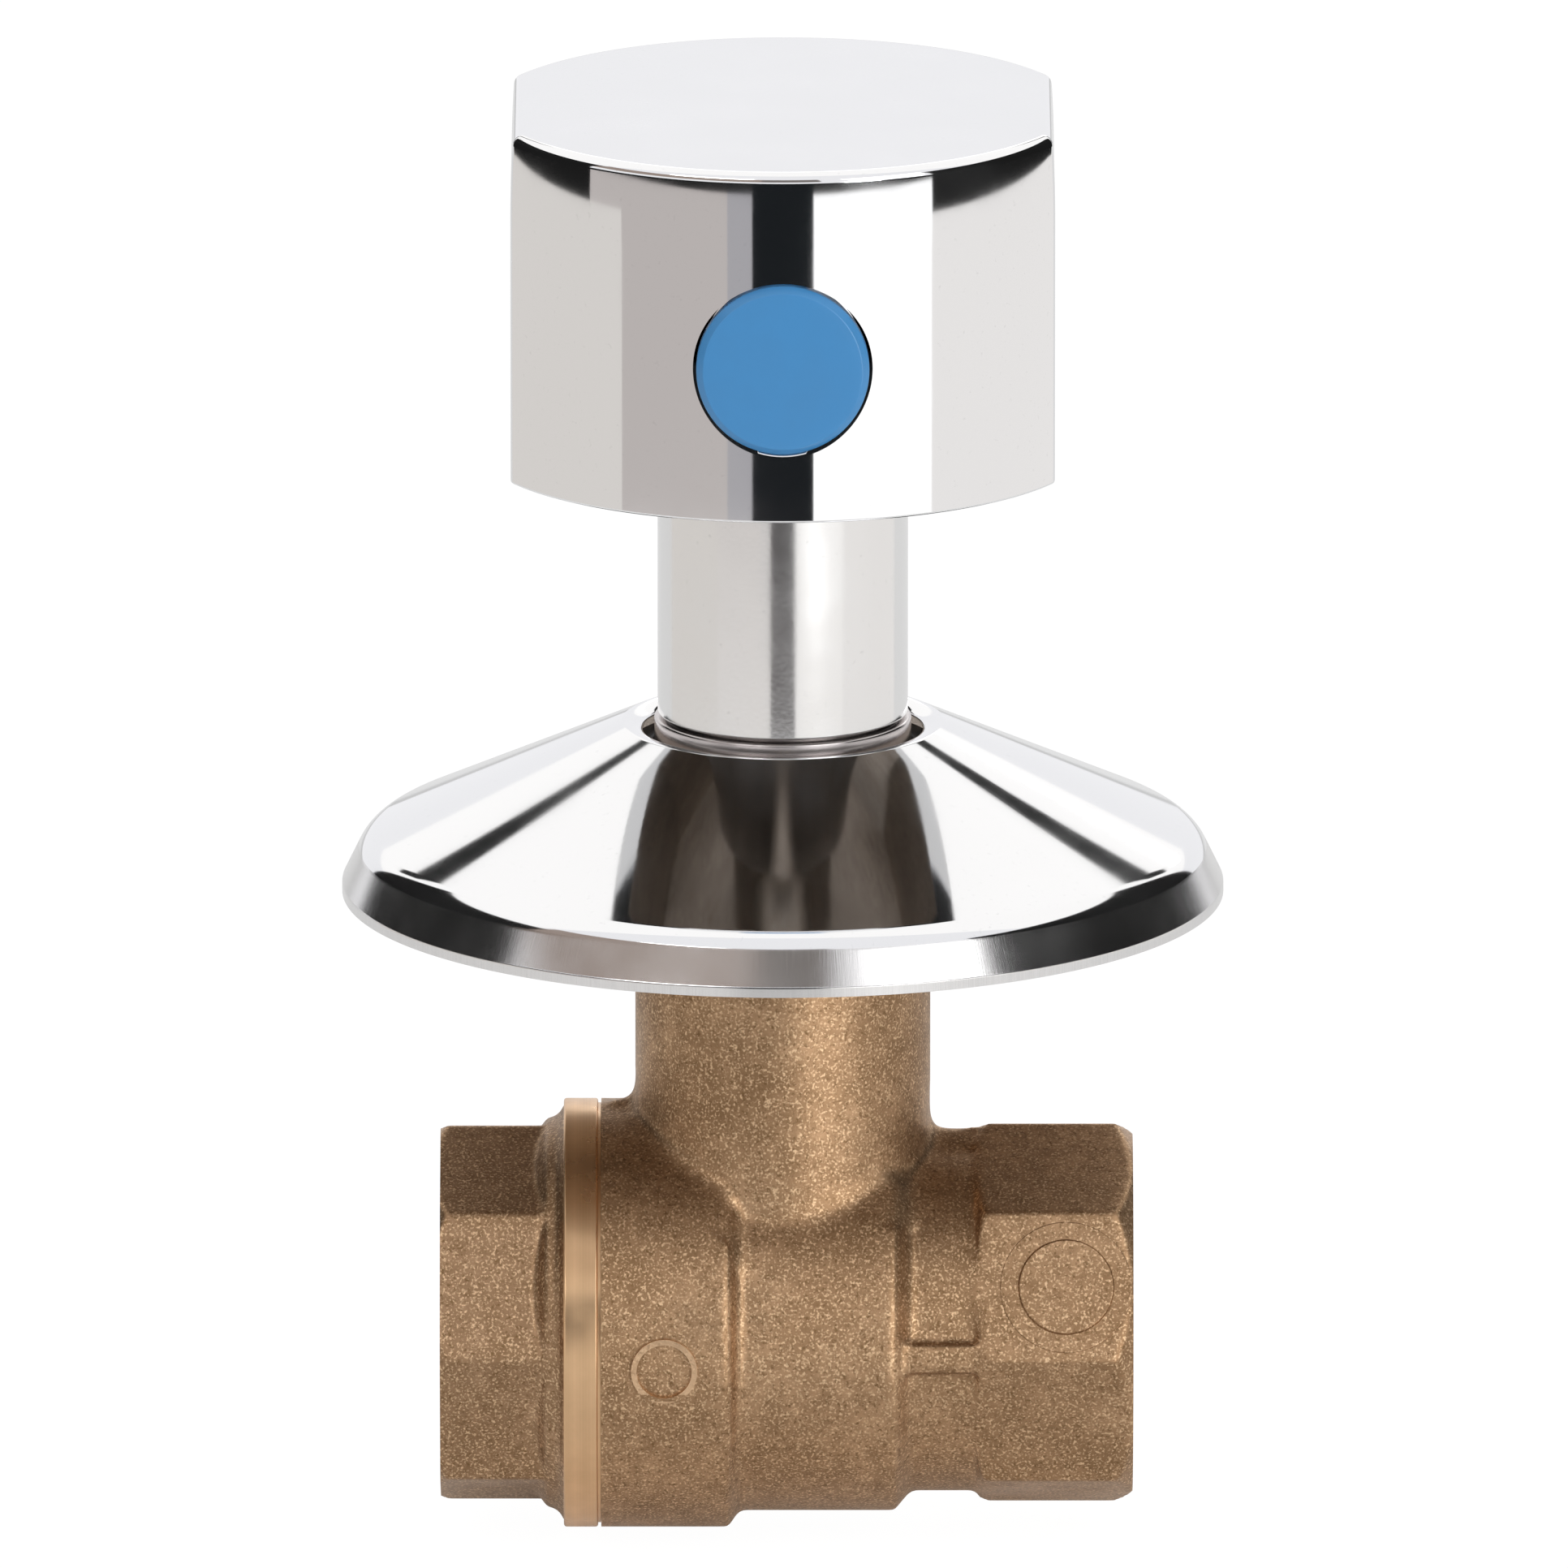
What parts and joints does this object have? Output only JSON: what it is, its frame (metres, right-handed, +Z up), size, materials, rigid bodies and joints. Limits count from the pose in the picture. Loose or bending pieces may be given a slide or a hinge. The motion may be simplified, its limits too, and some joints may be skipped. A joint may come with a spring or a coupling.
{
  "type": "concealed stop valve",
  "caption": "Concealed quarter-turn stop valve for a wall: forged brass body with threaded pipe ends, conical chromed rosette, slim sleeve and flat-sided chromed knob with a blue cap.",
  "frame": {"origin": "where the pipe's axis meets the stem's axis, at the ball's centre", "axes": "+X along the pipe towards the outlet, +Z up the stem towards the knob, and the blue cap faces -Y"},
  "size_m": [0.08, 0.08, 0.1324],
  "materials": {
    "forged_brass": "sand-blasted forging",
    "cap_brass": "sand-blasted forging with a machined collar",
    "turned_brass": "machined",
    "chrome": "polished chrome plating",
    "ball_chrome": "polished chrome plating",
    "steel": "machined",
    "ptfe": "satin",
    "rubber": "matt",
    "fibre": "matt",
    "white_plastic": "satin",
    "blue_plastic": "satin moulding"
  },
  "bodies": {
    "body": {"valve_body": "forged_brass", "end_cap": "cap_brass", "seat_inlet": "ptfe", "seat_outlet": "ptfe", "end_cap_seal": "rubber", "thrust_washer": "ptfe", "stem_packing": "ptfe", "gland_nut": "turned_brass", "bonnet": "turned_brass", "bonnet_seal": "fibre", "spindle_bush": "white_plastic", "sleeve": "chrome"},
    "handle": {"ball": "ball_chrome", "stem": "turned_brass", "stem_oring_lower": "rubber", "stem_oring_upper": "rubber", "stop_ring": "steel", "spindle": "turned_brass", "circlip": "steel", "knob": "chrome", "knob_insert": "white_plastic", "knob_screw": "steel", "index_cap": "blue_plastic"},
    "rosette": {"rosette": "chrome", "rosette_gasket": "rubber"}
  },
  "joints": [
    {"name": "knob_turn", "type": "hinge", "parent": "body", "child": "handle", "pos_m": [0, 0, 0], "axis": [0, 0, 1], "range_deg": [-90, 0]},
    {"name": "rosette_slide", "type": "slide", "parent": "body", "child": "rosette", "axis": [0, 0, 1], "range_m": [-0.0045, 0.0245]}
  ]
}
